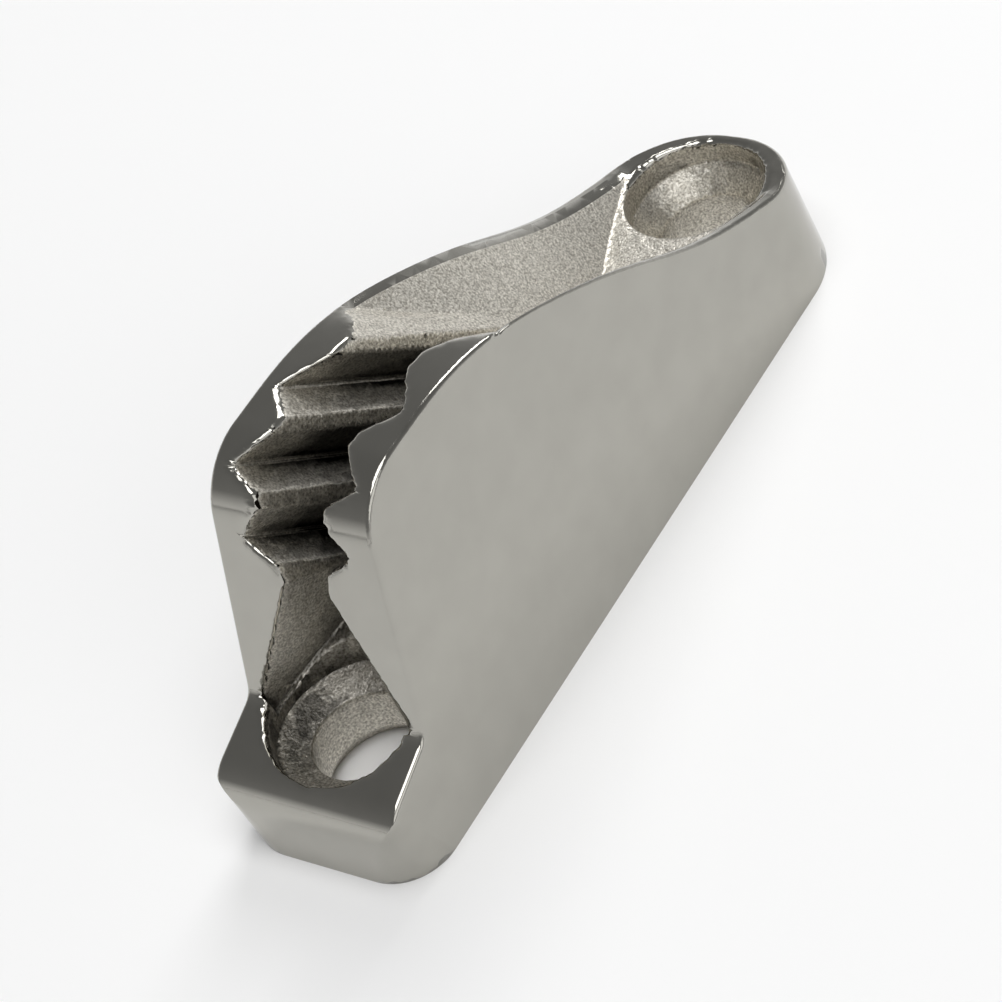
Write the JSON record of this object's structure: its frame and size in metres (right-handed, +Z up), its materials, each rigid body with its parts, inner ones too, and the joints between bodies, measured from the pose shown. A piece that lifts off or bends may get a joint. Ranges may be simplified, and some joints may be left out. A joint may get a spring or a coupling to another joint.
{
  "type": "jam cleat",
  "caption": "Open jam cleat for small rope: a polished metal casting with a toothed V slot, a flared exit at the tail and a countersunk screw hole at each end.",
  "frame": {"origin": "middle of the flat base, under the centre of the casting's length and width", "axes": "+X along the casting from the front foot to the low tail, the way the loaded rope leaves; +Z up from the deck; +Y across, with the casting the same on both sides of the XZ plane"},
  "size_m": [0.06, 0.0152, 0.0239],
  "materials": {
    "polished_casting": "polished outside, rough as cast in the slot"
  },
  "bodies": {
    "root": {"cleat_body": "polished_casting"}
  },
  "joints": []
}
